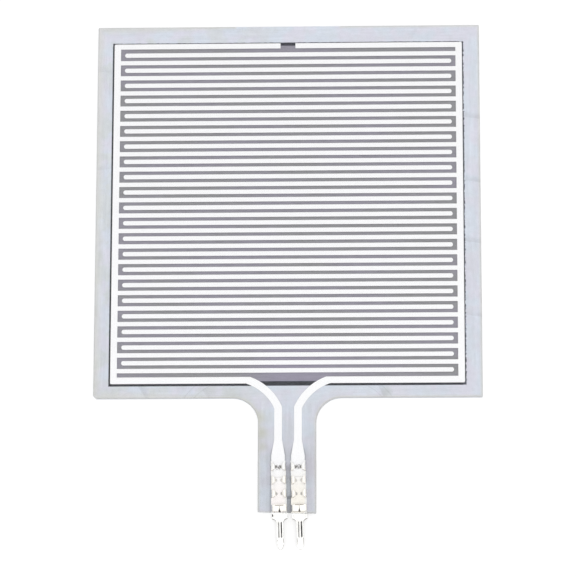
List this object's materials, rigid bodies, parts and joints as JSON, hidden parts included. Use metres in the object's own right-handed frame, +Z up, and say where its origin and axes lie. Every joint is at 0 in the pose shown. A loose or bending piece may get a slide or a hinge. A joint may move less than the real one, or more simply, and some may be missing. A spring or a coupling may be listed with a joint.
{
  "type": "piezoresistive film force sensor",
  "caption": "Thin square force sensor: interlocking printed silver combs over a carbon square between clear films, with a short tail and crimped metal pins.",
  "frame": {"origin": "centre of the square sheet, on the underside of the release liner", "axes": "+Z up through the layers to the front film, +Y along the sheet away from the tail"},
  "size_m": [0.05, 0.0697, 0.001],
  "materials": {
    "release_liner": "milky release film",
    "mounting_adhesive": "cloudy pressure-sensitive adhesive",
    "back_film": "clear polyester film",
    "carbon_ink": "matt printed carbon",
    "spacer_adhesive": "clear adhesive sheet",
    "silver_ink": "matt printed silver",
    "front_film": "clear polyester film",
    "tinned_metal": "bright tin plate"
  },
  "bodies": {
    "root": {"release_liner": "release_liner", "mounting_adhesive": "mounting_adhesive", "back_film": "back_film", "carbon_layer": "carbon_ink", "spacer_adhesive": "spacer_adhesive", "left_electrode": "silver_ink", "right_electrode": "silver_ink", "front_film": "front_film", "left_terminal": "tinned_metal", "right_terminal": "tinned_metal"}
  },
  "joints": []
}
